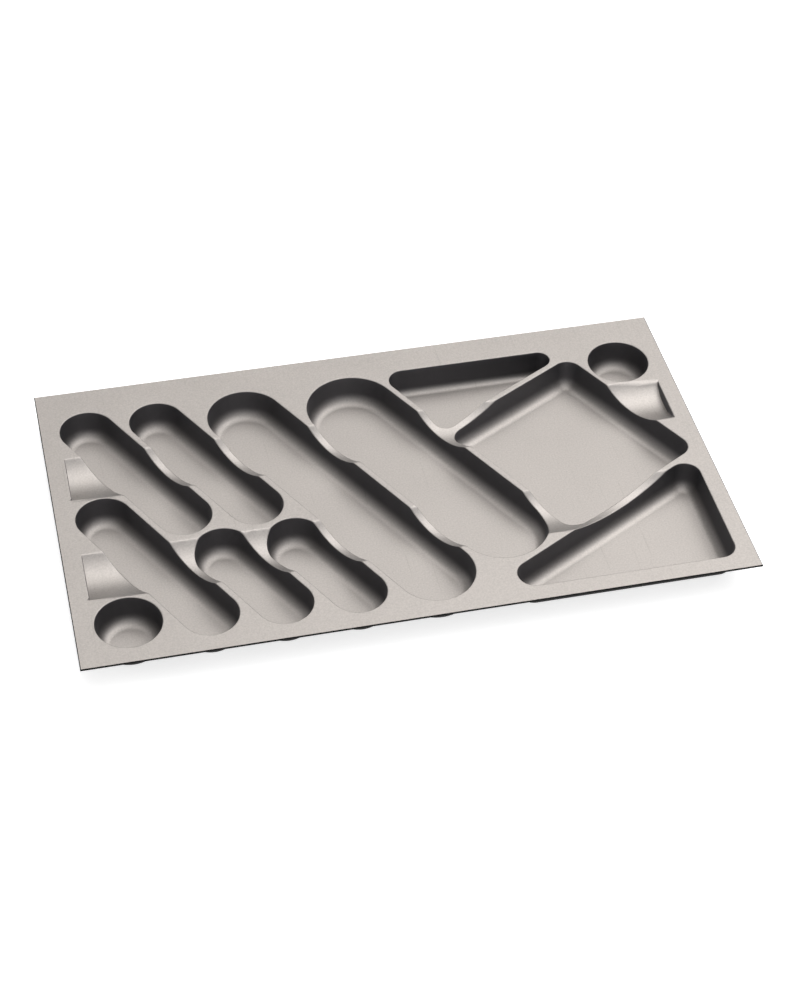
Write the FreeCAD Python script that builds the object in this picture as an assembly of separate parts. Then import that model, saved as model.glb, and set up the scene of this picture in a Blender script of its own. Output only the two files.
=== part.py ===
import FreeCAD, Part
import math
import os

# A drawer tray for cutlery: one sheet formed into a flat deck with twelve sunk wells, which two finger
# channels cross. The sheet is cut along the middle of its ridges into the regions that a maker would name.
# Millimetres. X runs along the long side, Y to the back, Z up. Origin: under the middle of the tray.

# Sheet and deck
deck_length = 840.0
deck_width = 490.0
sheet = 2.0

# Wells: depth from the deck to the floor, slope of the walls, round at the foot of the walls. The triangle's
# narrow tip has room for a smaller round only.
well_depth = 39.0
draft_angle = 3.0
floor_fillet = 15.0
triangle_fillet = 10.0

# Deck left outside the wells
left_margin = 25.0
right_margin = 23.0
back_margin = 44.0
front_margin = 24.0

# Slots: they lean to the front right, a ridge of deck apart
lean_angle = 28.75
ridge = 8.3
slot_width = 71.0
long_slot_width = 100.0
wide_slot_width = 120.0
slot_break_y = -47.0

# Other wells. A cup stands in the front left corner, a ridge from the first slot, and another in the back
# right corner. A length of deck on the right line parts that one from the square well's corner.
cup_diameter = 81.0
cup_ridge = 6.74
right_scoop_length = 134.2
square_length = 232.4
corner_radius = 20.0
triangle_tip_radius = 15.0
wedge_tip_radius = 21.0

# Finger channels: hollows of a round section, sunk across the ridges. The back one runs from line to line,
# and the front one runs out in the wedge.
channel_width = 80.0
channel_depth = 14.0
back_channel_y = 77.5
front_channel_y = -97.5

# Derived sizes
deck_top = well_depth + sheet
wall_slope = math.tan(math.radians(draft_angle))
wall_grow = sheet / math.cos(math.radians(draft_angle))
lip = ridge / 2
slot_radius = slot_width / 2
long_radius = long_slot_width / 2
wide_radius = wide_slot_width / 2
cup_radius = cup_diameter / 2
channel_radius = (channel_width ** 2 / 4 + channel_depth ** 2) / (2 * channel_depth)

# Lines that the wells touch on the deck
left_x = -deck_length / 2 + left_margin
right_x = deck_length / 2 - right_margin
back_y = deck_width / 2 - back_margin
front_y = -deck_width / 2 + front_margin

cos_lean = math.cos(math.radians(lean_angle))
sin_lean = math.sin(math.radians(lean_angle))


# A line on the deck is (a, b, c), where a x + b y = c.
def at_x(x):
    return (1.0, 0.0, x)


def at_y(y):
    return (0.0, 1.0, y)


def across(distance):
    """Line along the slots, at a distance from the origin measured across them."""
    return (cos_lean, sin_lean, distance)


def along(distance):
    """Line square to the slots, at a distance from the origin measured along them, to the front."""
    return (sin_lean, -cos_lean, distance)


def meet(first, second):
    det = first[0] * second[1] - first[1] * second[0]
    x = (first[2] * second[1] - first[1] * second[2]) / det
    y = (first[0] * second[2] - first[2] * second[0]) / det
    return FreeCAD.Vector(x, y, 0)


def distance_across(point):
    return point.x * cos_lean + point.y * sin_lean


def distance_along(point):
    return point.x * sin_lean - point.y * cos_lean


# Centres of the two cups
front_left_cup = FreeCAD.Vector(left_x + cup_radius, front_y + cup_radius, 0)
back_right_cup = FreeCAD.Vector(right_x - cup_radius, back_y - cup_radius, 0)

# Lanes of slots, from left to right
lane_step = slot_width + ridge
lane_1 = distance_across(front_left_cup) + cup_radius + cup_ridge + slot_radius
lane_2 = lane_1 + lane_step
lane_3 = lane_2 + lane_step
lane_4 = lane_3 + slot_radius + ridge + long_radius
lane_5 = lane_4 + long_radius + ridge + wide_radius
square_left = lane_5 + wide_radius + ridge

# The square well's front right corner touches the right line. The wedge lies a ridge in front of it, and the
# triangle a ridge behind it.
square_corner_y = back_y - cup_diameter - right_scoop_length
square_corner = FreeCAD.Vector(right_x - corner_radius, square_corner_y, 0)
square_right = distance_across(square_corner) + corner_radius
square_front = distance_along(square_corner) + corner_radius
square_back = square_front - square_length
triangle_front = square_back - ridge
wedge_back = square_front + ridge


# Where a round end of a slot has its centre, along the lane. Behind it is the left line or the back line, and
# in front of it the front line or the wedge's ridge, whichever comes first.
def back_end(lane, radius):
    to_left = distance_along(meet(across(lane), at_x(left_x + radius)))
    to_back = distance_along(meet(across(lane), at_y(back_y - radius)))
    return max(to_left, to_back)


def front_end(lane, radius):
    to_front = distance_along(meet(across(lane), at_y(front_y + radius)))
    return min(to_front, square_front - radius)


# Two lanes are broken in the middle.
break_2 = distance_along(meet(across(lane_2), at_y(slot_break_y)))
break_3 = distance_along(meet(across(lane_3), at_y(slot_break_y)))


# Outlines: each is a function of the inset from the rim, which gives a closed wire at a height.
def slot_outline(lane, back, front, radius):
    """A slot of parallel sides between two round ends, whose centres lie at two distances along the lane."""
    back_center = meet(across(lane), along(back))
    front_center = meet(across(lane), along(front))
    side = FreeCAD.Vector(cos_lean, sin_lean, 0)
    run = FreeCAD.Vector(sin_lean, -cos_lean, 0)

    def wire(inset, z):
        r = radius - inset
        lift = FreeCAD.Vector(0, 0, z)
        b = back_center + lift
        f = front_center + lift
        edges = [
            Part.LineSegment(b - side * r, f - side * r).toShape(),
            Part.Arc(f - side * r, f + run * r, f + side * r).toShape(),
            Part.LineSegment(f + side * r, b + side * r).toShape(),
            Part.Arc(b + side * r, b - run * r, b - side * r).toShape(),
        ]
        return Part.Wire(edges)

    return wire


def cup_outline(center):
    def wire(inset, z):
        lifted = center + FreeCAD.Vector(0, 0, z)
        circle = Part.Circle(lifted, FreeCAD.Vector(0, 0, 1), cup_radius - inset)
        return Part.Wire([circle.toShape()])

    return wire


def corner_outline(sides, radii):
    """A well of straight sides. The lines go round it counterclockwise, and radii[i] follows sides[i]."""
    corners = [meet(sides[i], sides[(i + 1) % len(sides)]) for i in range(len(sides))]

    def wire(inset, z):
        arcs = []
        for i, corner in enumerate(corners):
            before = (corners[i - 1] - corner).normalize()
            after = (corners[(i + 1) % len(corners)] - corner).normalize()
            half = before.getAngle(after) / 2
            middle = (before + after).normalize()
            center = corner + middle * (radii[i] / math.sin(half)) + FreeCAD.Vector(0, 0, z)
            reach = radii[i] / math.tan(half)
            share = (radii[i] - inset) / radii[i]
            flat = FreeCAD.Vector(corner.x, corner.y, z)
            start = center + (flat + before * reach - center) * share
            end = center + (flat + after * reach - center) * share
            arcs.append((start, center - middle * (radii[i] - inset), end))
        edges = []
        for i, (start, through, end) in enumerate(arcs):
            edges.append(Part.Arc(start, through, end).toShape())
            edges.append(Part.LineSegment(end, arcs[(i + 1) % len(arcs)][0]).toShape())
        return Part.Wire(edges)

    return wire


def basin(outline, grow, depth, fillet):
    """A tapered block under the deck with a rounded foot: a well's hollow, or that grown by the sheet."""
    foot = deck_top - depth
    block = Part.makeLoft([outline(-grow, deck_top), outline(depth * wall_slope - grow, foot)], True, True)
    foot_edges = [e for e in block.Edges if abs(e.BoundBox.ZMin - foot) < 1e-6 and e.BoundBox.ZLength < 1e-6]
    return block.makeFillet(fillet, foot_edges)


def channel(y, end_x, grow):
    """A finger channel's hollow, or that grown by the sheet. Its ends slope as the walls of the wells do."""
    radius = channel_radius + grow
    axis_z = deck_top + channel_radius - channel_depth
    start = FreeCAD.Vector(-deck_length, y, axis_z)
    round_bar = Part.makeCylinder(radius, 2 * deck_length, start, FreeCAD.Vector(1, 0, 0))
    low = deck_top - channel_depth - 2 * sheet
    end_grow = grow / math.cos(math.radians(draft_angle))
    taper = (deck_top - low) * wall_slope
    points = [
        FreeCAD.Vector(left_x - end_grow, y - radius, deck_top),
        FreeCAD.Vector(left_x - end_grow + taper, y - radius, low),
        FreeCAD.Vector(end_x + end_grow - taper, y - radius, low),
        FreeCAD.Vector(end_x + end_grow, y - radius, deck_top),
    ]
    limits = Part.Face(Part.makePolygon(points + points[:1])).extrude(FreeCAD.Vector(0, 2 * radius, 0))
    return round_bar.common(limits)


# The wells
square_sides = [across(square_left), along(square_front), across(square_right), along(square_back)]
triangle_sides = [across(square_left), along(triangle_front), at_y(back_y)]
wedge_sides = [at_y(front_y), at_x(right_x), along(wedge_back)]

wells = [
    slot_outline(lane_1, back_end(lane_1, slot_radius), front_end(lane_1, slot_radius), slot_radius),
    slot_outline(lane_2, back_end(lane_2, slot_radius), break_2 - lip - slot_radius, slot_radius),
    slot_outline(lane_2, break_2 + lip + slot_radius, front_end(lane_2, slot_radius), slot_radius),
    slot_outline(lane_3, back_end(lane_3, slot_radius), break_3 - lip - slot_radius, slot_radius),
    slot_outline(lane_3, break_3 + lip + slot_radius, front_end(lane_3, slot_radius), slot_radius),
    slot_outline(lane_4, back_end(lane_4, long_radius), front_end(lane_4, long_radius), long_radius),
    slot_outline(lane_5, back_end(lane_5, wide_radius), front_end(lane_5, wide_radius), wide_radius),
    cup_outline(front_left_cup),
    cup_outline(back_right_cup),
    corner_outline(square_sides, [corner_radius] * len(square_sides)),
    corner_outline(wedge_sides, [corner_radius, corner_radius, wedge_tip_radius]),
]
triangle = corner_outline(triangle_sides, [corner_radius, triangle_tip_radius, corner_radius])
channels = [(back_channel_y, right_x), (front_channel_y, right_x - corner_radius)]

# The formed sheet: the deck and everything that hangs under it, less the hollows
hollows = [basin(outline, 0, well_depth, floor_fillet) for outline in wells]
hollows.append(basin(triangle, 0, well_depth, triangle_fillet))
hollows += [channel(y, end_x, 0) for y, end_x in channels]
skins = [basin(outline, wall_grow, deck_top, floor_fillet + sheet) for outline in wells]
skins.append(basin(triangle, wall_grow, deck_top, triangle_fillet + sheet))
skins += [channel(y, end_x, sheet) for y, end_x in channels]
deck_corner = FreeCAD.Vector(-deck_length / 2, -deck_width / 2, well_depth)
deck = Part.makeBox(deck_length, deck_width, sheet, deck_corner)
formed = deck.fuse(skins).cut(hollows[0].fuse(hollows[1:])).removeSplitter()

# Lines that part the regions: the middle of each ridge, and a lip around the outer wells
left_line = at_x(left_x - lip)
right_line = at_x(right_x + lip)
back_line = at_y(back_y + lip)
front_line = at_y(front_y - lip)
lane_1_left = across(lane_1 - slot_radius - cup_ridge / 2)
lane_1_2 = across(lane_1 + lane_step / 2)
lane_2_3 = across(lane_2 + lane_step / 2)
lane_3_4 = across(lane_3 + slot_radius + lip)
lane_4_5 = across(lane_4 + long_radius + lip)
lane_5_square = across(square_left - lip)
square_right_line = across((square_right + distance_across(back_right_cup) - cup_radius) / 2)
triangle_square = along(square_back - lip)
square_wedge = along(wedge_back - lip)
front_slot_top = at_y(meet(across(lane_1), along(back_end(lane_1, slot_radius))).y + slot_radius + lip)
front_cup_top = at_y(front_left_cup.y + cup_radius + lip)
back_cup_foot = at_y(back_right_cup.y - cup_radius - lip)


# A side of a line is (a, b, c), where a x + b y <= c.
def before(line):
    return line


def beyond(line):
    return (-line[0], -line[1], -line[2])


def clip(points, side):
    """The part of a convex polygon that lies on one side of a line."""
    over = [side[0] * p.x + side[1] * p.y - side[2] for p in points]
    kept = []
    for i, point in enumerate(points):
        following = (i + 1) % len(points)
        if over[i] <= 0:
            kept.append(point)
        if over[i] * over[following] < 0:
            kept.append(point + (points[following] - point) * (over[i] / (over[i] - over[following])))
    return kept


# Each region is what is left of the deck between its lines.
field = [beyond(left_line), before(right_line), beyond(front_line), before(back_line)]
slots_side = field + [before(square_wedge)]
corner_side = slots_side + [before(lane_1_left)]
first_lane = slots_side + [beyond(lane_1_left), before(lane_1_2)]
second_lane = slots_side + [beyond(lane_1_2), before(lane_2_3)]
third_lane = slots_side + [beyond(lane_2_3), before(lane_3_4)]
square_side = slots_side + [beyond(lane_5_square), before(square_right_line)]
right_side = slots_side + [beyond(square_right_line)]
regions = {
    "front_left_cup": corner_side + [before(front_cup_top)],
    "front_left_finger_scoop": corner_side + [beyond(front_cup_top)],
    "front_slot_left": first_lane + [before(front_slot_top)],
    "back_left_finger_scoop": first_lane + [beyond(front_slot_top)],
    "back_slot_left": second_lane + [before(along(break_2))],
    "front_slot_middle": second_lane + [beyond(along(break_2))],
    "back_slot_right": third_lane + [before(along(break_3))],
    "front_slot_right": third_lane + [beyond(along(break_3))],
    "long_slot": slots_side + [beyond(lane_3_4), before(lane_4_5)],
    "wide_slot": slots_side + [beyond(lane_4_5), before(lane_5_square)],
    "triangle_well": square_side + [before(triangle_square)],
    "square_well": square_side + [beyond(triangle_square)],
    "wedge_well": field + [beyond(square_wedge)],
    "back_right_cup": right_side + [beyond(back_cup_foot)],
    "right_finger_scoop": right_side + [before(back_cup_foot)],
    "left_margin_strip": [before(left_line), beyond(front_line), before(back_line)],
    "right_margin_strip": [beyond(right_line), beyond(front_line), before(back_line)],
    "back_margin_strip": [beyond(back_line)],
    "front_margin_strip": [before(front_line)],
}

os.makedirs("parts", exist_ok=True)
deck_corners = [
    FreeCAD.Vector(-deck_length / 2, -deck_width / 2, 0),
    FreeCAD.Vector(deck_length / 2, -deck_width / 2, 0),
    FreeCAD.Vector(deck_length / 2, deck_width / 2, 0),
    FreeCAD.Vector(-deck_length / 2, deck_width / 2, 0),
]
for name, sides in regions.items():
    corners = deck_corners
    for side in sides:
        corners = clip(corners, side)
    cutter = Part.Face(Part.makePolygon(corners + corners[:1])).extrude(FreeCAD.Vector(0, 0, 2 * deck_top))
    region = formed.common(cutter)
    region.exportStep("parts/" + name + ".step")
    box = region.BoundBox
    print(name, len(region.Solids), "solid,", round(region.Volume), "mm3,", round(box.XLength, 1), "x",
          round(box.YLength, 1), "x", round(box.ZLength, 1), "mm")
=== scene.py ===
# %% [markdown]
# # A formed cutlery tray
# The real tray is one plastic sheet with a silver face. It was warmed and drawn down into a mould,
# so every wall leans a little, every rim is softly rounded and every foot has a wide round. The
# lesson follows that: it lays out a flat blank, forms it with one rule in Geometry Nodes, and then
# cuts the sheet into the regions that the frame names.

# %% Load the frame
import math
import bpy
import numpy as np
from mathutils import Matrix, Vector
from mathutils.geometry import delaunay_2d_cdt

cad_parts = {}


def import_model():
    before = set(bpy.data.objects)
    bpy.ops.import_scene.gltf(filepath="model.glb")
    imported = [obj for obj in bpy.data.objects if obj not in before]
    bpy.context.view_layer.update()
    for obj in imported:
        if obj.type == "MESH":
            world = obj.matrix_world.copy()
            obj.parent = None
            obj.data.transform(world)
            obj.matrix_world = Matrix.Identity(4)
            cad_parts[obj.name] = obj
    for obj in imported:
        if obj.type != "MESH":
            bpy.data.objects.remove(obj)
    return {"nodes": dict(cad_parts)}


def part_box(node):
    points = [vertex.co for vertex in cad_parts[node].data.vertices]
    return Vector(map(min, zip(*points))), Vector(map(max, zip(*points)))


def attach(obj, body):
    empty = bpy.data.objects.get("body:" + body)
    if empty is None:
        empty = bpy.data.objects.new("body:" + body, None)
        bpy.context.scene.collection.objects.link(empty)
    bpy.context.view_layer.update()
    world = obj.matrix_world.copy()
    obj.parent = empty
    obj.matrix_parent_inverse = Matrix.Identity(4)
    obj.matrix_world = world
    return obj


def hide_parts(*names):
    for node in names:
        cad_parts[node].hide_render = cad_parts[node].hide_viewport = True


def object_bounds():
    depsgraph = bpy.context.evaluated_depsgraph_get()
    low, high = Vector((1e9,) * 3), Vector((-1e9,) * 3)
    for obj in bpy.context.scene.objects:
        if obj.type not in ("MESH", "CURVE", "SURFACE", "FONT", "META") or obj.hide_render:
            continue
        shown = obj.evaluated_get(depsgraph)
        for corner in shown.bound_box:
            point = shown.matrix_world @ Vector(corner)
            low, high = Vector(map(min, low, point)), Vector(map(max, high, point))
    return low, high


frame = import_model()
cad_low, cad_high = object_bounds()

print("Frame:", len(frame["nodes"]), "regions, box", [round(s, 3) for s in cad_high - cad_low], "m")

# %% [markdown]
# ## The layout on the deck
# Everything is measured from the frame's own box and from the flat strips around the wells, so the
# looks stay on the solids. A slot's place is a distance across the lean and a distance along it.
# Only the sizes that the boxes don't give are written here.

# %% Sizes
MM = 0.001
SHEET = 2.0 * MM
DRAFT = math.radians(3.0)
LEAN = math.radians(28.75)
RIDGE = 8.3 * MM
CUP_RIDGE = 6.74 * MM
SLOT_RADIUS = 35.5 * MM
LONG_RADIUS = 50.0 * MM
WIDE_RADIUS = 60.0 * MM
CUP_RADIUS = 40.5 * MM
SLOT_BREAK_Y = -47.0 * MM
RIGHT_SCOOP_LENGTH = 134.2 * MM
SQUARE_LENGTH = 232.4 * MM
CORNER_RADIUS = 20.0 * MM
TRIANGLE_TIP_RADIUS = 15.0 * MM
WEDGE_TIP_RADIUS = 21.0 * MM
FLOOR_FILLET = 15.0 * MM
TRIANGLE_FILLET = 10.0 * MM
CHANNEL_HALF_WIDTH = 40.0 * MM
CHANNEL_DEPTH = 14.0 * MM
BACK_CHANNEL_Y = 77.5 * MM
FRONT_CHANNEL_Y = -97.5 * MM

DECK_TOP = cad_high.z
WELL_DEPTH = DECK_TOP - SHEET
HALF_LENGTH = (cad_high.x - cad_low.x) / 2
HALF_WIDTH = (cad_high.y - cad_low.y) / 2
CHANNEL_RADIUS = (CHANNEL_HALF_WIDTH ** 2 + CHANNEL_DEPTH ** 2) / (2 * CHANNEL_DEPTH)
SLOPE = math.tan(DRAFT)
COS = math.cos(LEAN)
SIN = math.sin(LEAN)

left_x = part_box("left_margin_strip")[1].x + RIDGE / 2
right_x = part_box("right_margin_strip")[0].x - RIDGE / 2
back_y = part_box("back_margin_strip")[0].y - RIDGE / 2
front_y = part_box("front_margin_strip")[1].y + RIDGE / 2
print("Wells lie from x", round(left_x, 4), "to", round(right_x, 4))
print("Wells lie from y", round(front_y, 4), "to", round(back_y, 4))


# %% Lines and lanes
def at_x(x):
    """A line on the deck is (a, b, c), where a x + b y = c."""
    return (1.0, 0.0, x)


def at_y(y):
    return (0.0, 1.0, y)


def across(distance):
    return (COS, SIN, distance)


def along(distance):
    return (SIN, -COS, distance)


def meet(first, second):
    det = first[0] * second[1] - first[1] * second[0]
    x = (first[2] * second[1] - first[1] * second[2]) / det
    y = (first[0] * second[2] - first[2] * second[0]) / det
    return np.array([x, y])


def distance_across(point):
    return point[0] * COS + point[1] * SIN


def distance_along(point):
    return point[0] * SIN - point[1] * COS


front_left_cup = np.array([left_x + CUP_RADIUS, front_y + CUP_RADIUS])
back_right_cup = np.array([right_x - CUP_RADIUS, back_y - CUP_RADIUS])
lane_1 = distance_across(front_left_cup) + CUP_RADIUS + CUP_RIDGE + SLOT_RADIUS
lane_2 = lane_1 + 2 * SLOT_RADIUS + RIDGE
lane_3 = lane_2 + 2 * SLOT_RADIUS + RIDGE
lane_4 = lane_3 + SLOT_RADIUS + RIDGE + LONG_RADIUS
lane_5 = lane_4 + LONG_RADIUS + RIDGE + WIDE_RADIUS
square_left = lane_5 + WIDE_RADIUS + RIDGE
square_corner = np.array([right_x - CORNER_RADIUS, back_y - 2 * CUP_RADIUS - RIGHT_SCOOP_LENGTH])
square_right = distance_across(square_corner) + CORNER_RADIUS
square_front = distance_along(square_corner) + CORNER_RADIUS
square_back = square_front - SQUARE_LENGTH
triangle_front = square_back - RIDGE
wedge_back = square_front + RIDGE
break_2 = distance_along(meet(across(lane_2), at_y(SLOT_BREAK_Y)))
break_3 = distance_along(meet(across(lane_3), at_y(SLOT_BREAK_Y)))
lanes = (lane_1, lane_2, lane_3, lane_4, lane_5)
print("Lanes across the lean:", [round(lane, 4) for lane in lanes])

# %% [markdown]
# ## The outlines of the wells
# Each well is a row of arcs joined by straight runs, going round counterclockwise. The outline is
# sampled once, with the direction that points out of the well at each sample, so any ring inside or
# outside it is the same row of samples moved along those directions. That keeps every ring in step
# with the next one.

# %% Samples along an outline
SAMPLE_STEP = 2.5 * MM
SAMPLE_TURN = math.radians(6.0)
ROUND_OFF = 1e-6


def outward(angles):
    return np.column_stack([np.cos(angles), np.sin(angles)])


def sample_outline(arcs):
    """Points on the rim and the directions out of the well.

    An arc is its centre, radius, start and end.
    """
    points = []
    directions = []
    for i, (center, radius, start, end) in enumerate(arcs):
        turn = end - start
        count = math.ceil(max(radius * turn / SAMPLE_STEP, turn / SAMPLE_TURN))
        bow = outward(np.linspace(start, end, count + 1))
        rim = center + radius * bow
        next_center, next_radius, next_start, _ = arcs[(i + 1) % len(arcs)]
        next_rim = next_center + next_radius * outward(np.array([next_start]))[0]
        run = next_rim - rim[-1]
        steps = math.ceil(np.linalg.norm(run) / SAMPLE_STEP - ROUND_OFF)
        if steps == 0:
            rim, bow = rim[:-1], bow[:-1]
        shares = np.arange(1, steps)[:, None] / max(steps, 1)
        points += [rim, rim[-1] + shares * run]
        directions += [bow, np.repeat(bow[-1:], len(shares), axis=0)]
    return np.vstack(points), np.vstack(directions)


def cup_well(center):
    return sample_outline([(center, CUP_RADIUS, 0.0, 2 * math.pi)])


print("Samples on a cup's rim:", len(cup_well(front_left_cup)[0]))


# %% Slots
def back_end(lane, radius):
    to_left = distance_along(meet(across(lane), at_x(left_x + radius)))
    to_back = distance_along(meet(across(lane), at_y(back_y - radius)))
    return max(to_left, to_back)


def front_end(lane, radius):
    to_front = distance_along(meet(across(lane), at_y(front_y + radius)))
    return min(to_front, square_front - radius)


def slot_well(lane, radius, back=None, front=None):
    """A slot along a lane. An end that isn't given goes as far as the deck has room."""
    back = back_end(lane, radius) if back is None else back
    front = front_end(lane, radius) if front is None else front
    half_turn = math.pi
    return sample_outline([
        (meet(across(lane), along(front)), radius, LEAN - half_turn, LEAN),
        (meet(across(lane), along(back)), radius, LEAN, LEAN + half_turn),
    ])


gap = RIDGE / 2 + SLOT_RADIUS
wells = {
    "front_slot_left": slot_well(lane_1, SLOT_RADIUS),
    "back_slot_left": slot_well(lane_2, SLOT_RADIUS, front=break_2 - gap),
    "front_slot_middle": slot_well(lane_2, SLOT_RADIUS, back=break_2 + gap),
    "back_slot_right": slot_well(lane_3, SLOT_RADIUS, front=break_3 - gap),
    "front_slot_right": slot_well(lane_3, SLOT_RADIUS, back=break_3 + gap),
    "long_slot": slot_well(lane_4, LONG_RADIUS),
    "wide_slot": slot_well(lane_5, WIDE_RADIUS),
}
print(len(wells), "slots")


# %% Cups and cornered wells
def cornered_well(sides, radii):
    """A well of straight sides. radii[i] rounds the corner after sides[i]."""
    corners = [meet(sides[i], sides[(i + 1) % len(sides)]) for i in range(len(sides))]
    arcs = []
    for i, corner in enumerate(corners):
        coming = corner - corners[i - 1]
        going = corners[(i + 1) % len(corners)] - corner
        start = math.atan2(-coming[0], coming[1])
        end = math.atan2(-going[0], going[1])
        end += 2 * math.pi * (end < start)
        half = (math.pi - (end - start)) / 2
        middle = going / np.linalg.norm(going) - coming / np.linalg.norm(coming)
        center = corner + middle / np.linalg.norm(middle) * radii[i] / math.sin(half)
        arcs.append((center, radii[i], start, end))
    return sample_outline(arcs)


wells |= {
    "front_left_cup": cup_well(front_left_cup),
    "back_right_cup": cup_well(back_right_cup),
    "square_well": cornered_well(
        [across(square_left), along(square_front), across(square_right), along(square_back)],
        [CORNER_RADIUS] * 4),
    "triangle_well": cornered_well(
        [across(square_left), along(triangle_front), at_y(back_y)],
        [CORNER_RADIUS, TRIANGLE_TIP_RADIUS, CORNER_RADIUS]),
    "wedge_well": cornered_well(
        [at_y(front_y), at_x(right_x), along(wedge_back)],
        [CORNER_RADIUS, CORNER_RADIUS, WEDGE_TIP_RADIUS]),
}
fillets = dict.fromkeys(wells, FLOOR_FILLET)
fillets["triangle_well"] = TRIANGLE_FILLET
print(len(wells), "wells,", sum(len(rim) for rim, out in wells.values()), "samples on their rims")

# %% [markdown]
# ## The regions of the sheet
# The frame cuts the sheet along the middle of its ridges. The looks are cut on the same lines, so
# each region of the formed sheet can stand for one node. A region is what is left of the deck
# between its lines.


# %% Sides of a line
def before(line):
    """A side of a line is (a, b, c), where a x + b y <= c."""
    return line


def beyond(line):
    return (-line[0], -line[1], -line[2])


def clip(points, side):
    """The part of a convex polygon that lies on one side of a line."""
    over = [side[0] * p[0] + side[1] * p[1] - side[2] for p in points]
    kept = []
    for i, point in enumerate(points):
        following = (i + 1) % len(points)
        if over[i] <= 0:
            kept.append(point)
        if over[i] * over[following] < 0:
            share = over[i] / (over[i] - over[following])
            kept.append(point + (points[following] - point) * share)
    return kept


deck = np.array([[-1, -1], [1, -1], [1, 1], [-1, 1]]) * [HALF_LENGTH, HALF_WIDTH]
print("The deck left of the wide slot's lane has",
      len(clip(list(deck), before(across(lane_5)))), "corners")

# %% Cut lines
lip = RIDGE / 2
cup_lip = CUP_RIDGE / 2
back_cup_lip = (distance_across(back_right_cup) - CUP_RADIUS - square_right) / 2
lane_1_left = across(lane_1 - SLOT_RADIUS - cup_lip)
lane_1_2 = across((lane_1 + lane_2) / 2)
lane_2_3 = across((lane_2 + lane_3) / 2)
lane_3_4 = across(lane_3 + SLOT_RADIUS + lip)
lane_4_5 = across(lane_4 + LONG_RADIUS + lip)
lane_5_square = across(square_left - lip)
square_right_line = across(square_right + back_cup_lip)
triangle_square = along(square_back - lip)
square_wedge = along(wedge_back - lip)
first_slot_back = meet(across(lane_1), along(back_end(lane_1, SLOT_RADIUS)))
front_slot_top = at_y(first_slot_back[1] + SLOT_RADIUS + lip)
front_cup_top = at_y(front_left_cup[1] + CUP_RADIUS + lip)
back_cup_foot = at_y(back_right_cup[1] - CUP_RADIUS - lip)
left_line = at_x(left_x - lip)
right_line = at_x(right_x + lip)
back_line = at_y(back_y + lip)
front_line = at_y(front_y - lip)
print("Half a ridge:", [round(half / MM, 2) for half in (lip, cup_lip, back_cup_lip)], "mm")

# %% Regions
field = [beyond(left_line), before(right_line), beyond(front_line), before(back_line)]
slots_side = field + [before(square_wedge)]
corner_side = slots_side + [before(lane_1_left)]
first_lane = slots_side + [beyond(lane_1_left), before(lane_1_2)]
second_lane = slots_side + [beyond(lane_1_2), before(lane_2_3)]
third_lane = slots_side + [beyond(lane_2_3), before(lane_3_4)]
square_side = slots_side + [beyond(lane_5_square), before(square_right_line)]
right_side = slots_side + [beyond(square_right_line)]
region_sides = {
    "front_left_cup": corner_side + [before(front_cup_top)],
    "front_left_finger_scoop": corner_side + [beyond(front_cup_top)],
    "front_slot_left": first_lane + [before(front_slot_top)],
    "back_left_finger_scoop": first_lane + [beyond(front_slot_top)],
    "back_slot_left": second_lane + [before(along(break_2))],
    "front_slot_middle": second_lane + [beyond(along(break_2))],
    "back_slot_right": third_lane + [before(along(break_3))],
    "front_slot_right": third_lane + [beyond(along(break_3))],
    "long_slot": slots_side + [beyond(lane_3_4), before(lane_4_5)],
    "wide_slot": slots_side + [beyond(lane_4_5), before(lane_5_square)],
    "triangle_well": square_side + [before(triangle_square)],
    "square_well": square_side + [beyond(triangle_square)],
    "wedge_well": field + [beyond(square_wedge)],
    "back_right_cup": right_side + [beyond(back_cup_foot)],
    "right_finger_scoop": right_side + [before(back_cup_foot)],
    "left_margin_strip": [before(left_line), beyond(front_line), before(back_line)],
    "right_margin_strip": [beyond(right_line), beyond(front_line), before(back_line)],
    "back_margin_strip": [beyond(back_line)],
    "front_margin_strip": [before(front_line)],
}
regions = {}
for name, sides in region_sides.items():
    regions[name] = list(deck)
    for side in sides:
        regions[name] = clip(regions[name], side)
print(len(regions), "regions, of", sorted(len(corners) for corners in regions.values()), "corners")

# %% [markdown]
# ## The flat blank
# A blank is the sheet's plan before forming, made once for the upper face and once for the
# underside. Rings of samples go down each wall, close together where the profile bends. The deck
# between the wells is filled with triangles that respect the rings and the cut lines, and rows of
# points lie where a finger channel will bend it. A plain grid could not follow the slanted rims,
# and a subdivided box would need far more faces.

# %% Profile of a wall
RIM_ROUND = 1.3 * MM
INNER_RIM_ROUND = 0.3 * MM
RIM_SUPPORT = 0.45 * MM
FLOOR_SUPPORT = 0.6 * MM
FULL_TURN = math.pi / 2 - DRAFT
wall_grow = SHEET / math.cos(DRAFT) - SHEET * SLOPE


def ring_insets(rim_round, fillet, rim_steps, wall_steps, foot_steps):
    """Distances of the rings into the well: over the rim, down the wall, over the foot."""
    tangent = math.tan(FULL_TURN / 2)
    rim_start = -rim_round * tangent
    floor_end = WELL_DEPTH * SLOPE + fillet * tangent
    rim = rim_start + rim_round * np.sin(np.linspace(0, FULL_TURN, rim_steps + 1))
    foot = floor_end - fillet * np.sin(np.linspace(FULL_TURN, 0, foot_steps + 1))
    wall = np.linspace(rim[-1], foot[0], wall_steps + 1)[1:-1]
    return [rim_start - min(RIM_SUPPORT, rim_round), *rim, *wall, *foot, floor_end + FLOOR_SUPPORT]


upper_steps = {"rim_round": RIM_ROUND, "rim_steps": 5, "wall_steps": 3, "foot_steps": 8}
under_steps = {"rim_round": INNER_RIM_ROUND, "rim_steps": 2, "wall_steps": 2, "foot_steps": 5}
upper_insets = ring_insets(fillet=FLOOR_FILLET, **upper_steps)
print("Upper rings at", [round(inset / MM, 2) for inset in upper_insets], "mm")

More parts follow.
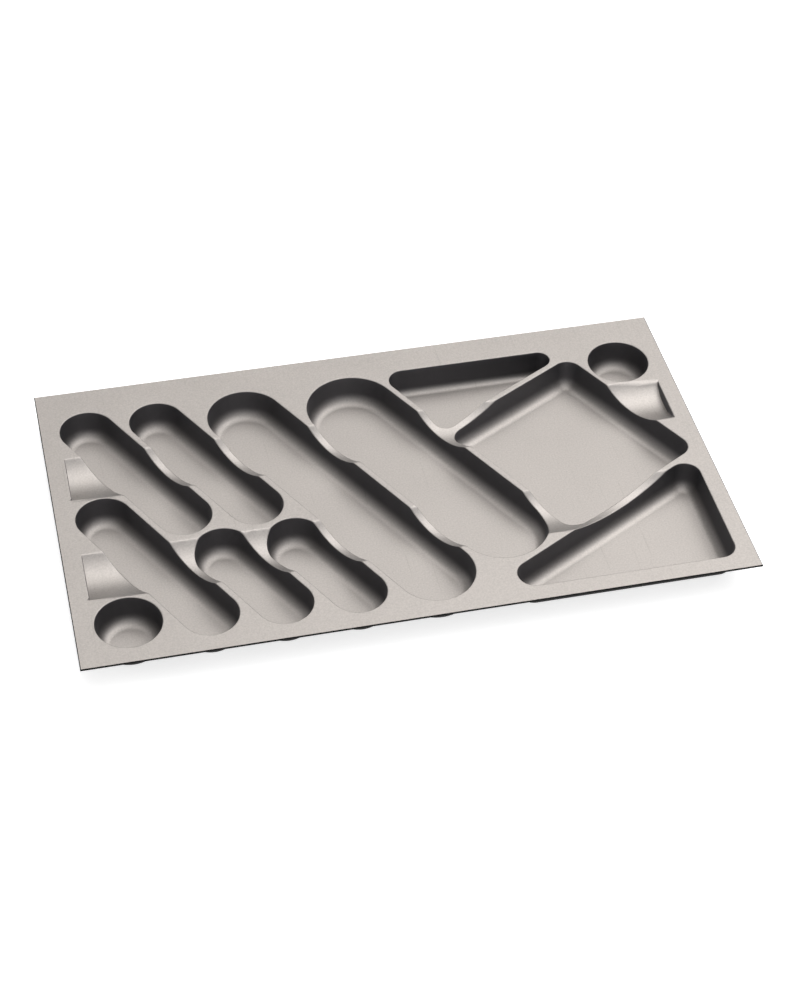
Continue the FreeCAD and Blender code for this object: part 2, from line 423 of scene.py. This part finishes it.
# %% Rows of points in the channels
ROW_TURN = math.radians(4.5)
COLUMN_STEP = 6.0 * MM
EDGE_ROWS = np.array([-2.4, -1.2, 0.0, 1.2]) * MM
END_COLUMNS = np.array([-2.4, -1.8, -1.3, -0.8, -0.4, 0.0, 0.3, 0.6, 0.9, 1.2, 1.5, 1.9, 2.6]) * MM
EDGE_CHAMFER = 1.1 * MM

channel_turn = math.asin(CHANNEL_HALF_WIDTH / CHANNEL_RADIUS)
bend_rows = CHANNEL_RADIUS * np.sin(np.arange(0, channel_turn - ROW_TURN / 2, ROW_TURN))
half_rows = np.concatenate([bend_rows, CHANNEL_HALF_WIDTH - EDGE_ROWS])
channel_rows = np.unique(np.concatenate([-half_rows, half_rows]))
channel_runs = {
    BACK_CHANNEL_Y: (left_x, right_x),
    FRONT_CHANNEL_Y: (left_x, right_x - CORNER_RADIUS),
}
all_rows = np.concatenate([y + channel_rows for y in channel_runs])


def channel_points():
    """A grid over each channel, with close columns at its ends."""
    grids = []
    for y, (start, end) in channel_runs.items():
        inner = np.arange(start + COLUMN_STEP, end - COLUMN_STEP / 2, COLUMN_STEP)
        columns = np.concatenate([start + END_COLUMNS, inner, end - END_COLUMNS])
        grid = np.meshgrid(columns, y + channel_rows)
        grids.append(np.column_stack([g.ravel() for g in grid]))
    return np.vstack(grids)


deck_rows = channel_points()
print(len(channel_rows), "rows in a channel and", len(deck_rows), "points in both")

# %% Points on the cut lines
SEAM_STEP = 0.1 * MM
SEAM_REACH = 1.0 * MM
chamfer_line = deck - np.sign(deck) * EDGE_CHAMFER


def seam_points(corners):
    """A region's outline, with a point wherever it crosses a row of a channel or the chamfer."""
    points = []
    for i, corner in enumerate(corners):
        run = corners[(i + 1) % len(corners)] - corner
        least = SEAM_STEP / np.linalg.norm(run)
        shares = [0.0]
        for axis, lines in enumerate((np.unique(chamfer_line[:, 0]), all_rows)):
            if abs(run[axis]) > SEAM_REACH:
                crossed = (lines - corner[axis]) / run[axis]
                shares += [s for s in crossed if least < s < 1 - least]
        points += [corner + run * s for s in sorted(shares)]
    return np.array(points)


seams = {name: seam_points(corners) for name, corners in regions.items()}
print("Points on the cut lines:", sum(len(seam) for seam in seams.values()))

# %% Points inside and near a loop
NO_LENGTH = 1e-18


def inside(points, polygon):
    """Which points lie in a polygon, by counting the edges to the right of each."""
    x, y = points[:, :1], points[:, 1:]
    ax, ay = polygon[:, 0], polygon[:, 1]
    bx, by = np.roll(ax, -1), np.roll(ay, -1)
    spans = (ay > y) != (by > y)
    rise = np.where(by == ay, 1.0, by - ay)
    return ((spans & (x < (bx - ax) * (y - ay) / rise + ax)).sum(1) % 2) == 1


def distance_to_loop(points, loop):
    """The shortest way from each point to a closed row of straight runs."""
    best = np.full(len(points), np.inf)
    for a, b in zip(loop, np.roll(loop, -1, axis=0)):
        run = b - a
        share = np.clip((points - a) @ run / max(run @ run, NO_LENGTH), 0, 1)
        best = np.minimum(best, np.linalg.norm(points - a - share[:, None] * run, axis=1))
    return best


in_wells = sum(inside(deck_rows, rim).sum() for rim, out in wells.values())
print("Of the channels' points,", in_wells, "lie over the wells")

# %% The deck between the wells
SEAM_CLEAR = 1.0 * MM
RING_CLEAR = 1.4 * MM
WELD = 1e-6
FILL_LOOPS = 1
FIRST_WELL = len(seams) + 1


def loose_points(outer_rings):
    """The channels' points, clear of the wells and of the cut lines."""
    loose = deck_rows
    for loop in outer_rings:
        near = distance_to_loop(loose, loop) < RING_CLEAR
        loose = loose[~(near | inside(loose, loop))]
    for corners in regions.values():
        loose = loose[distance_to_loop(loose, np.array(corners)) > SEAM_CLEAR]
    return loose


def fill_deck(outer_rings):
    """Triangles between the wells, each with its region, and where each point of a loop went.

    The loops are the cut lines, then the chamfer, then the wells' outer rings.
    """
    blocks = [*seams.values(), chamfer_line, *outer_rings]
    starts = np.cumsum([0] + [len(block) for block in blocks])
    loops = [list(range(starts[i], starts[i + 1])) for i in range(len(blocks))]
    plan = [Vector(p) for p in np.vstack([*blocks, loose_points(outer_rings)])]
    made = delaunay_2d_cdt(plan, [], loops, FILL_LOOPS, WELD, True)
    points, _, faces, origin, _, face_origin = made
    found = {first: i for i, firsts in enumerate(origin) for first in firsts}
    keep = [i for i, owners in enumerate(face_origin) if max(owners) < FIRST_WELL]
    region = [min(face_origin[i]) for i in keep]
    rings = [[found[i] for i in loop] for loop in loops[FIRST_WELL:]]
    seam_vertex = {i: found[i] for i in range(starts[FIRST_WELL])}
    return [tuple(p) for p in points], [list(faces[i]) for i in keep], region, rings, seam_vertex


print("Loops to fill between:", FIRST_WELL, "on the deck and", len(wells), "around the wells")


# %% The blank of one face
def make_blank(title, grow, thickness, steps):
    """A flat mesh of one face, which stores how its points are formed and the region of its faces.

    A point stores its distance into the well, its way inwards and the round at its foot.
    """
    insets = {name: ring_insets(fillet=fillets[name] + thickness, **steps) for name in wells}
    outer_rings = [rim + out * (grow - insets[name][0]) for name, (rim, out) in wells.items()]
    points, faces, region, rings, seam_vertex = fill_deck(outer_rings)
    inset = [-2 * RIM_ROUND] * len(points)
    inward = [(0.0, 0.0, 0.0)] * len(points)
    fillet = [FLOOR_FILLET] * len(points)
    numbers = {name: number for number, name in enumerate(regions)}
    for ring, (name, (rim, out)) in zip(rings, wells.items()):
        foot = fillets[name] + thickness
        ways = [(-d[0], -d[1], 0.0) for d in out]
        for i, way in zip(ring, ways):
            inset[i], inward[i], fillet[i] = insets[name][0], way, foot
        for depth in insets[name][1:]:
            fresh = [len(points) + i for i in range(len(ring))]
            points += [tuple(p) for p in rim + out * (grow - depth)]
            inset += [depth] * len(ring)
            inward += ways
            fillet += [foot] * len(ring)
            for i in range(len(ring)):
                j = (i + 1) % len(ring)
                faces.append([ring[i], ring[j], fresh[j], fresh[i]])
            ring = fresh
        faces.append(ring)
        region += [numbers[name]] * (len(faces) - len(region))
    mesh = bpy.data.meshes.new(title)
    mesh.from_pydata([(p[0], p[1], 0.0) for p in points], [], faces)
    store = mesh.attributes.new
    store("inset", "FLOAT", "POINT").data.foreach_set("value", inset)
    store("fillet", "FLOAT", "POINT").data.foreach_set("value", fillet)
    store("inward", "FLOAT_VECTOR", "POINT").data.foreach_set("vector", np.ravel(inward))
    store("region", "INT", "FACE").data.foreach_set("value", region)
    print(title, len(points), "points,", len(faces), "faces")
    return mesh, seam_vertex


upper_blank, upper_seam = make_blank("upper_blank", 0.0, 0.0, upper_steps)
under_blank, under_seam = make_blank("under_blank", wall_grow, SHEET, under_steps)

# %% [markdown]
# ## Nodes as arithmetic
# Both the forming rule and the finishes are sums of many small steps. Wired by hand they would be
# hard to read, so one small class lets a socket take part in Python arithmetic, and one method adds
# any other node.


# %% Sockets that can be reckoned with
class Value:
    """What flows out of a socket. An operator on it adds a Math node to its tree."""

    def __init__(self, board, socket):
        self.board = board
        self.socket = socket

    def math(self, operation, *others):
        inputs = dict(enumerate((self, *others)))
        return self.board.add("ShaderNodeMath", {"operation": operation}, inputs)

    def out(self, name):
        return Value(self.board, self.socket.node.outputs[name])

    def __add__(self, other):
        return self.math("ADD", other)

    def __sub__(self, other):
        return self.math("SUBTRACT", other)

    def __rsub__(self, other):
        return self.math("MULTIPLY_ADD", -1.0, other)

    def __mul__(self, other):
        return self.math("MULTIPLY", other)

    def __truediv__(self, other):
        return self.math("DIVIDE", other)

    def __rtruediv__(self, other):
        return (self / other).math("POWER", -1.0)

    def __neg__(self):
        return self.math("MULTIPLY", -1.0)

    def __lt__(self, other):
        return self.math("LESS_THAN", other)

    def __gt__(self, other):
        return self.math("GREATER_THAN", other)

    __radd__ = __add__
    __rmul__ = __mul__

    def at_least(self, other):
        return self.math("MAXIMUM", other)

    def at_most(self, other):
        return self.math("MINIMUM", other)

    def root(self):
        return self.at_least(0.0).math("SQRT")

    def blend(self, other, share):
        return self + (other - self) * share


class Board:
    """A node tree, and the one way to add a node to it."""

    def __init__(self, tree):
        self.tree = tree

    def fill(self, node, inputs):
        for key, value in inputs.items():
            if isinstance(value, Value):
                self.tree.links.new(value.socket, node.inputs[key])
            else:
                node.inputs[key].default_value = value

    def add(self, kind, settings=None, inputs=None, out=0):
        node = self.tree.nodes.new(kind)
        for name, setting in (settings or {}).items():
            setattr(node, name, setting)
        self.fill(node, inputs or {})
        return Value(self, node.outputs[out]) if node.outputs else node


print("Sockets understand:", [name for name in vars(Value) if name.startswith("__")])

# %% [markdown]
# ## The forming rule
# One tree draws the blank down, as the mould does. A point on the deck sinks only where a finger
# channel passes. A point on a ring follows the wall's profile: a round rim, a leaning wall and a
# wide round at the foot. Where a channel lowers the deck, the rim starts lower and so further in,
# and the rings move with it. Bevels could round the wells one by one, but one rule forms all twelve
# alike and keeps every size an input.

# %% Inputs of the thermoforming tree
FORMING_SIZES = (
    "Level", "Well Depth", "Draft", "Rim Round", "Channel Radius", "Channel Axis", "Channel Left",
    "Back Channel Y", "Back Channel Right", "Front Channel Y", "Front Channel Right",
    "Edge Chamfer", "Half Length", "Half Width",
)


def open_forming_tree():
    tree = bpy.data.node_groups.new("thermoforming", "GeometryNodeTree")
    add_socket = tree.interface.new_socket
    add_socket("Sheet", in_out="OUTPUT", socket_type="NodeSocketGeometry")
    add_socket("Blank", in_out="INPUT", socket_type="NodeSocketGeometry")
    add_socket("Finish", in_out="INPUT", socket_type="NodeSocketMaterial")
    for size in FORMING_SIZES:
        add_socket(size, in_out="INPUT", socket_type="NodeSocketFloat")
    return tree


print("Sizes of the forming tree:", len(FORMING_SIZES))

# %% Thermoforming tree
CHANNEL_EDGE_ROUND = 0.8 * MM
CHANNEL_FOOT_ROUND = 1.5 * MM


def make_forming_tree():
    tree = open_forming_tree()
    board = Board(tree)
    entry = board.add("NodeGroupInput", out="Blank")
    size = entry.out

    def stored(name, kind="FLOAT"):
        settings = {"data_type": kind}
        return board.add("GeometryNodeInputNamedAttribute", settings, {"Name": name})

    fillet = stored("fillet")
    slope = size("Draft").math("TANGENT")
    full_turn = math.pi / 2 - size("Draft")
    tangent = (full_turn / 2).math("TANGENT")
    rim_start = -(size("Rim Round") * tangent)
    rim_end = rim_start + size("Rim Round") * full_turn.math("SINE")
    floor_end = size("Well Depth") * slope + fillet * tangent
    wall_end = floor_end - fillet * full_turn.math("SINE")

    def rim_drop(inset):
        """How far a round rim and the wall below it lie under the deck."""
        past = (inset - rim_start).at_least(0.0)
        arc = size("Rim Round") - (size("Rim Round") * size("Rim Round") - past * past).root()
        return arc.blend(inset / slope, inset > rim_end)

    def channel_drop(x, y, middle, right):
        """How far a channel sinks the deck: a round bed with soft edges, between two end walls."""
        off = y - size(middle)
        radius = size("Channel Radius")
        bed = (radius * radius - off * off).root() - size("Channel Axis")
        near = (CHANNEL_EDGE_ROUND - bed.math("ABSOLUTE")).at_least(0.0)
        soft_bed = bed.at_least(0.0) + near * near / (4 * CHANNEL_EDGE_ROUND)
        end = rim_drop((x - size("Channel Left")).at_most(size(right) - x))
        close = (CHANNEL_FOOT_ROUND - (soft_bed - end).math("ABSOLUTE")).at_least(0.0)
        return (soft_bed.at_most(end) - close * close / (4 * CHANNEL_FOOT_ROUND)).at_least(0.0)

    def deck_height(x, y):
        back = channel_drop(x, y, "Back Channel Y", "Back Channel Right")
        front = channel_drop(x, y, "Front Channel Y", "Front Channel Right")
        to_end = size("Half Length") - x.math("ABSOLUTE")
        to_side = size("Half Width") - y.math("ABSOLUTE")
        chamfer = (size("Edge Chamfer") - to_end.at_most(to_side)).at_least(0.0)
        return -(back + front + chamfer)

    inset = stored("inset")
    place = board.add("ShaderNodeSeparateXYZ", {}, {0: board.add("GeometryNodeInputPosition")})
    way = board.add("ShaderNodeSeparateXYZ", {}, {0: stored("inward", "FLOAT_VECTOR")})
    x, y = place.out("X"), place.out("Y")

    wall_top = -rim_drop(rim_end)
    wall_foot = -(wall_end / slope)
    share = (-(inset / slope) - wall_top) / (wall_foot - wall_top)
    on_wall = inset > rim_end
    on_floor = inset > wall_end
    first_deck = deck_height(x, y)
    first_wall = (first_deck + wall_top).blend(wall_foot, share)
    shift = (-(first_deck * slope)).blend(-(first_wall * slope) - inset, on_wall)
    shift = shift * (1 - on_floor)
    moved_x = x + way.out("X") * shift
    moved_y = y + way.out("Y") * shift
    deck = deck_height(moved_x, moved_y)
    rim = deck - rim_drop(inset)
    wall = (deck + wall_top).blend(wall_foot, share)
    rise = (floor_end - inset).at_least(0.0)
    foot = fillet - (fillet * fillet - rise * rise).root() - size("Well Depth")
    height = rim.blend(wall, on_wall).blend(foot, on_floor) + size("Level")

    target = board.add("ShaderNodeCombineXYZ", {}, {"X": moved_x, "Y": moved_y, "Z": height})
    formed = board.add("GeometryNodeSetPosition", {}, {"Geometry": entry, "Position": target})
    whole = board.add("GeometryNodeRealizeInstances", {}, {"Geometry": formed})
    paint = {"Geometry": whole, "Material": size("Finish")}
    painted = board.add("GeometryNodeSetMaterial", {}, paint)
    board.add("NodeGroupOutput", {}, {"Sheet": painted})
    print("Forming tree:", len(tree.nodes), "nodes")
    return tree


forming_tree = make_forming_tree()

# %% [markdown]
# ## The finishes
# The face is a plastic with fine metal flakes in it: a warm silver-grey that mirrors softly, with a
# speckle, a very fine grain from the mould, slow clouds in its tone and a few faint scuffs from
# use. Noise on the object's own coordinates makes them all, because it runs on across the cuts
# between the pieces, where a flat map would break. The more upright a face stands, the darker its
# base colour: this is painted shade, which darkens the walls and the rounds of the rims.


# %% What both finishes need
def new_finish(name):
    finish = bpy.data.materials.new(name)
    finish.use_nodes = True
    shader = finish.node_tree.nodes["Principled BSDF"]
    return finish, Board(finish.node_tree), shader


def noise(board, coords, scale, detail=2.0):
    settings = {"noise_dimensions": "3D"}
    inputs = {"Vector": coords, "Scale": scale, "Detail": detail}
    return board.add("ShaderNodeTexNoise", settings, inputs)


def mix_colour(board, first, second, share):
    """A Mix node has sockets for each type of data: 6, 7 and the output 2 are its colours."""
    inputs = {"Factor": share, 6: first, 7: second}
    return board.add("ShaderNodeMix", {"data_type": "RGBA"}, inputs, out=2)


def bump_from(board, height, strength, distance):
    inputs = {"Height": height, "Strength": strength, "Distance": distance}
    return board.add("ShaderNodeBump", {}, inputs)


# %% Silver face
SILVER = (0.595, 0.555, 0.523, 1.0)
SILVER_DEEP = (0.465, 0.433, 0.407, 1.0)
# Painted shade: the dark base colour that walls and rim rounds take on as they stand upright.
SILVER_PAINTED_SHADE = (0.107, 0.106, 0.115, 1.0)
PAINTED_SHADE_FADE = 1.7
SATIN = 0.52
CLOUD_SCALE = 9.0
SPECKLE_SCALE = 480.0
SCUFF_TURN = (0.0, 0.0, 0.6)
SCUFF_SCALE = (420.0, 9.0, 60.0)
SCUFF_START = 0.66
SCUFF_GAIN = 9.0
MOULD_GRAIN_SCALE = 1900.0
MOULD_GRAIN_DEPTH = 0.1 * MM
MOULD_GRAIN_STRENGTH = 0.12


def make_silver():
    finish, board, shader = new_finish("silver_face")
    coords = board.add("ShaderNodeTexCoord", out="Object")
    clouds = noise(board, coords, CLOUD_SCALE, detail=3.0)
    speckle = noise(board, coords, SPECKLE_SCALE)
    grain = noise(board, coords, MOULD_GRAIN_SCALE)
    stretch = {"Vector": coords, "Rotation": SCUFF_TURN, "Scale": SCUFF_SCALE}
    streaks = noise(board, board.add("ShaderNodeMapping", {}, stretch), 1.0)
    scuffs = ((streaks - SCUFF_START) * SCUFF_GAIN).at_least(0.0).at_most(1.0)
    tone = (clouds * 0.6 + speckle * 1.6 - 0.6 - scuffs * 0.3).at_least(0.0).at_most(1.0)
    level = mix_colour(board, SILVER_DEEP, SILVER, tone)
    normal = board.add("ShaderNodeNewGeometry", out="Normal")
    upward = board.add("ShaderNodeSeparateXYZ", {}, {0: normal}, "Z").math("ABSOLUTE")
    # Painted shade: the base colour darkens towards SILVER_PAINTED_SHADE as the face stands
    # upright.
    silver_with_painted_shade = mix_colour(board, SILVER_PAINTED_SHADE, level, upward.math("POWER", PAINTED_SHADE_FADE))
    rough = SATIN + clouds * 0.05 + speckle * 0.03 + scuffs * 0.05
    bump = bump_from(board, grain, MOULD_GRAIN_STRENGTH, MOULD_GRAIN_DEPTH)
    board.fill(shader, {"Base Color": silver_with_painted_shade, "Metallic": 1.0, "Roughness": rough, "Normal": bump})
    print(finish.name, "has", len(board.tree.nodes), "nodes")
    return finish


silver = make_silver()

# %% [markdown]
# The core is black plastic with a little dust on it. It shows on the cut edge and on the underside.
# A plain black would look like a hole there, so it has a coarser grain than the face and a weak
# sheen.

# %% Black core
CORE = (0.005, 0.005, 0.005, 1.0)
CORE_DUST = (0.018, 0.017, 0.017, 1.0)
CORE_ROUGHNESS = 0.42
CORE_SHEEN = 0.1
DUST_SCALE = 60.0
CORE_GRAIN_SCALE = 900.0
CORE_GRAIN_DEPTH = 0.2 * MM
CORE_GRAIN_STRENGTH = 0.2


def make_core():
    finish, board, shader = new_finish("black_core")
    coords = board.add("ShaderNodeTexCoord", out="Object")
    dust = noise(board, coords, DUST_SCALE, detail=4.0)
    grain = noise(board, coords, CORE_GRAIN_SCALE)
    colour = mix_colour(board, CORE, CORE_DUST, dust * dust)
    rough = CORE_ROUGHNESS + dust * 0.15
    bump = bump_from(board, grain, CORE_GRAIN_STRENGTH, CORE_GRAIN_DEPTH)
    board.fill(shader, {"Base Color": colour, "Roughness": rough, "Normal": bump,
                        "Specular IOR Level": CORE_SHEEN})
    print(finish.name, "has", len(board.tree.nodes), "nodes")
    return finish


core = make_core()

# %% [markdown]
# ## Forming the sheet
# The same tree forms both faces. The underside is the same rule with the sheet's thickness added:
# its channel bends on a larger radius, its feet on a larger round, and its rims come out almost
# sharp. A Solidify modifier could make it too, but this underside needs fewer rings, because little
# of it shows.


# %% Two faces
def form_face(blank, finish, sizes):
    """Runs the tree on a blank and gives the formed face as a plain mesh."""
    carrier = bpy.data.objects.new(blank.name, blank)
    bpy.context.scene.collection.objects.link(carrier)
    modifier = carrier.modifiers.new("thermoforming", "NODES")
    modifier.node_group = forming_tree
    values = {"Finish": finish, **sizes}
    for item in forming_tree.interface.items_tree:
        if item.in_out == "INPUT" and item.name in values:
            modifier[item.identifier] = values[item.name]
    depsgraph = bpy.context.evaluated_depsgraph_get()
    formed = bpy.data.meshes.new_from_object(carrier.evaluated_get(depsgraph))
    carrier.modifiers.remove(modifier)
    bpy.data.objects.remove(carrier)
    heights = [v.co.z for v in formed.vertices]
    print(blank.name, "formed: z", round(min(heights), 5), "to", round(max(heights), 5))
    return formed


def face_sizes(thickness, rim_round):
    shift = wall_grow * (thickness > 0)
    return {
        "Level": DECK_TOP - thickness,
        "Well Depth": WELL_DEPTH,
        "Draft": DRAFT,
        "Rim Round": rim_round,
        "Channel Radius": CHANNEL_RADIUS + thickness,
        "Channel Axis": CHANNEL_RADIUS - CHANNEL_DEPTH + thickness,
        "Channel Left": left_x - shift,
        "Back Channel Y": BACK_CHANNEL_Y,
        "Back Channel Right": right_x + shift,
        "Front Channel Y": FRONT_CHANNEL_Y,
        "Front Channel Right": right_x - CORNER_RADIUS + shift,
        "Edge Chamfer": EDGE_CHAMFER * (thickness == 0),
        "Half Length": HALF_LENGTH,
        "Half Width": HALF_WIDTH,
    }


upper = form_face(upper_blank, silver, face_sizes(0.0, RIM_ROUND))
under = form_face(under_blank, core, face_sizes(SHEET, INNER_RIM_ROUND))

# %% [markdown]
# ## Cutting the sheet into regions
# Each region takes its part of both faces and a wall along its cut lines, so it is a closed piece.
# The shading directions are measured on the whole sheet first, and each piece keeps them: the cuts
# then don't show. On the level deck they point straight up, so that the rims and the edge beside it
# stay crisp. The sheet is trimmed on a slant, which shows its black core as a thin line around the
# deck.


# %% Regions of the sheet
SLACK = 0.001 * MM


def face_data(mesh):
    """A mesh's points, shading directions, faces and regions."""
    points = np.zeros(len(mesh.vertices) * 3)
    mesh.vertices.foreach_get("co", points)
    normals = np.zeros(len(mesh.vertices) * 3)
    mesh.vertex_normals.foreach_get("vector", normals)
    region = np.zeros(len(mesh.polygons), int)
    mesh.attributes["region"].data.foreach_get("value", region)
    faces = [list(p.vertices) for p in mesh.polygons]
    return points.reshape(-1, 3), normals.reshape(-1, 3), faces, region


def open_edges(faces):
    """Edges that only one face uses, in that face's direction."""
    edges = [(f[i - 1], f[i]) for f in faces for i in range(len(f))]
    known = set(edges)
    return [(a, b) for a, b in edges if (b, a) not in known]


upper_points, upper_normals, upper_faces, upper_region = face_data(upper)
under_points, under_normals, under_faces, under_region = face_data(under)
below = {upper_seam[i]: under_seam[i] for i in upper_seam}
upper_normals[upper_points[:, 2] > DECK_TOP - SLACK] = (0.0, 0.0, 1.0)
on_edge = np.any(np.abs(upper_points[:, :2]) > [HALF_LENGTH - SLACK, HALF_WIDTH - SLACK], axis=1)


def cut_piece(name, number):
    """One region as a closed piece: its silver face, its black underside and its cut edges."""
    tops = [upper_faces[i] for i in np.flatnonzero(upper_region == number)]
    slants = [any(on_edge[v] for v in f) for f in tops]
    bottoms = [under_faces[i][::-1] for i in np.flatnonzero(under_region == number)]
    offset = len(upper_points)
    cuts = [[a, below[a] + offset, below[b] + offset, b] for a, b in open_edges(tops)]
    faces = tops + [[v + offset for v in f] for f in bottoms] + cuts
    used = sorted({v for f in faces for v in f})
    place = {v: i for i, v in enumerate(used)}
    points = np.vstack([upper_points, under_points])
    shading = np.vstack([upper_normals, -under_normals])
    mesh = bpy.data.meshes.new("formed_" + name)
    mesh.from_pydata(points[used].tolist(), [], [[place[v] for v in f] for f in faces])
    mesh.materials.append(silver)
    mesh.materials.append(core)
    dark = np.array(slants + [True] * (len(bottoms) + len(cuts)))
    mesh.polygons.foreach_set("material_index", dark.astype(int))
    flat = np.array(slants + [False] * len(bottoms) + [True] * len(cuts))
    mesh.polygons.foreach_set("use_smooth", ~flat)
    corners = []
    for polygon, face, is_flat in zip(mesh.polygons, faces, flat):
        corners += [polygon.normal] * len(face) if is_flat else [shading[v] for v in face]
    mesh.normals_split_custom_set([tuple(n) for n in corners])
    piece = bpy.data.objects.new("formed_" + name, mesh)
    bpy.context.scene.collection.objects.link(piece)
    return piece


pieces = {name: cut_piece(name, number) for number, name in enumerate(regions)}
for name, piece in pieces.items():
    leaks = open_edges([list(p.vertices) for p in piece.data.polygons])
    triangles = sum(len(p.vertices) - 2 for p in piece.data.polygons)
    print(piece.name, triangles, "triangles,", len(leaks), "open edges")

# %% [markdown]
# ## Joining the frame
# Nothing on the tray moves, so each piece rides on the one body and stands for its own node.

# %% Ride, replace and finish
for name, piece in pieces.items():
    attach(piece, "root")
    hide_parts(name)
print(len(pieces), "pieces stand for", len(frame["nodes"]), "nodes")

# %% [markdown]
# ## The stage
# The tray lies on a white sweep: a flat floor whose far rim curves up, so that low views are white
# too. A little glow that only the camera and reflections see makes it white without more light on
# the tray, and the shadow stays.

# %% White sweep
SWEEP_RADII = (6.0, 9.0, 10.0, 10.7, 11.2, 11.5, 11.6)
SWEEP_HEIGHTS = (0.0, 0.0, 0.08, 0.3, 0.7, 1.3, 2.4)
SWEEP_SIDES = 96
WHITE = (1.0, 1.0, 1.0, 1.0)
PAPER = (0.85, 0.85, 0.85, 1.0)
FLOOR_GLOW = 0.7


def make_sweep():
    turns = outward(np.arange(SWEEP_SIDES) * 2 * math.pi / SWEEP_SIDES)
    points = [(*(r * t), h) for r, h in zip(SWEEP_RADII, SWEEP_HEIGHTS) for t in turns]
    faces = [list(range(SWEEP_SIDES))]
    for ring in range(len(SWEEP_RADII) - 1):
        for i in range(SWEEP_SIDES):
            j = (i + 1) % SWEEP_SIDES
            low, high = ring * SWEEP_SIDES, (ring + 1) * SWEEP_SIDES
            faces.append([low + i, high + i, high + j, low + j])
    mesh = bpy.data.meshes.new("sweep")
    mesh.from_pydata(points, [], faces)
    mesh.polygons.foreach_set("use_smooth", np.ones(len(faces), bool))
    paper = bpy.data.materials.new("sweep_paper")
    paper.use_nodes = True
    board = Board(paper.node_tree)
    paper.node_tree.nodes.clear()
    path = board.add("ShaderNodeLightPath", out="Is Camera Ray")
    seen = path.at_least(path.out("Is Glossy Ray")).at_least(path.out("Is Transmission Ray"))
    matt = board.add("ShaderNodeBsdfDiffuse", {}, {"Color": PAPER})
    glow = board.add("ShaderNodeEmission", {}, {"Color": WHITE, "Strength": seen * FLOOR_GLOW})
    both = board.add("ShaderNodeAddShader", {}, {0: matt, 1: glow})
    board.add("ShaderNodeOutputMaterial", {}, {"Surface": both})
    mesh.materials.append(paper)
    sweep = bpy.data.objects.new("sweep", mesh)
    bpy.context.scene.collection.objects.link(sweep)
    return sweep


sweep = make_sweep()
print("Sweep:", len(sweep.data.polygons), "faces")

# %% [markdown]
# ## The light
# The studio has large soft lights above and behind the tray, and weaker ones at its sides and
# behind the camera. The level parts mirror the bright side, and the walls, whose base colour is
# darkened with painted shade, mirror the wells and the dimmer side. That gives a silver tray its
# contrast. Each light is a rounded patch on the world, brightest in its middle: its direction is
# turned from the back to the right and raised from the floor, and a higher focus makes it smaller.

# %% Studio light
SOFT_LIGHTS = {
    "high right": {"turned": 60.0, "raised": 70.0, "focus": 10.0, "strength": 2.5},
    "back right": {"turned": 45.0, "raised": 55.0, "focus": 20.0, "strength": 2.0},
    "overhead": {"turned": 0.0, "raised": 75.0, "focus": 20.0, "strength": 1.0},
    "right side": {"turned": 100.0, "raised": 40.0, "focus": 5.0, "strength": 0.4},
    "low left": {"turned": -60.0, "raised": 15.0, "focus": 10.0, "strength": 0.9},
    "front fill": {"turned": 180.0, "raised": 45.0, "focus": 6.0, "strength": 1.1},
}
ROOM_LEVEL = 0.05


def make_studio():
    world = bpy.data.worlds.new("studio")
    world.use_nodes = True
    world.node_tree.nodes.clear()
    board = Board(world.node_tree)
    way = board.add("ShaderNodeTexCoord", out="Generated")
    level = ROOM_LEVEL
    for light in SOFT_LIGHTS.values():
        turned, raised = math.radians(light["turned"]), math.radians(light["raised"])
        level_x, level_y = math.sin(turned), math.cos(turned)
        aim = (level_x * math.cos(raised), level_y * math.cos(raised), math.sin(raised))
        dot = {"operation": "DOT_PRODUCT"}
        facing = board.add("ShaderNodeVectorMath", dot, {0: way, 1: aim}, "Value")
        level = level + facing.at_least(0.0).math("POWER", light["focus"]) * light["strength"]
    glow = board.add("ShaderNodeBackground", {}, {"Color": WHITE, "Strength": level})
    board.add("ShaderNodeOutputWorld", {}, {"Surface": glow})
    bpy.context.scene.world = world


make_studio()
bpy.context.scene.view_settings.view_transform = "Standard"
print("Soft lights:", ", ".join(SOFT_LIGHTS))

# %% [markdown]
# ## The camera
# The photograph's camera was found from the deck's corners and the round cups. It stands in front,
# a little to the left and high up, with a long lens.

# %% Camera
FRAME_HEIGHT = 988
FOCAL_PIXELS = 2261.15
SENSOR = 36.0
EYE = Vector((-490.0987 * MM, -2030.88 * MM, 1975.8639 * MM + DECK_TOP))
CAMERA_RIGHT = Vector((0.974487170, -0.223469009, 0.020889157))
CAMERA_DOWN = Vector((-0.140014300, -0.678015818, -0.721588904))
CAMERA_AHEAD = Vector((0.175415936, 0.700254349, -0.692006573))

lens = bpy.data.cameras.new("camera")
lens.sensor_width = SENSOR
lens.lens = FOCAL_PIXELS / FRAME_HEIGHT * SENSOR
camera = bpy.data.objects.new("camera", lens)
bpy.context.scene.collection.objects.link(camera)
turn = Matrix((CAMERA_RIGHT, -CAMERA_DOWN, -CAMERA_AHEAD)).transposed()
camera.matrix_world = Matrix.Translation(EYE) @ turn.to_4x4()
bpy.context.scene.camera = camera
print("Lens:", round(lens.lens, 2), "mm")

# %% Boxes
bpy.context.view_layer.update()
print("Frame:", [round(s, 4) for s in cad_high - cad_low], "m")
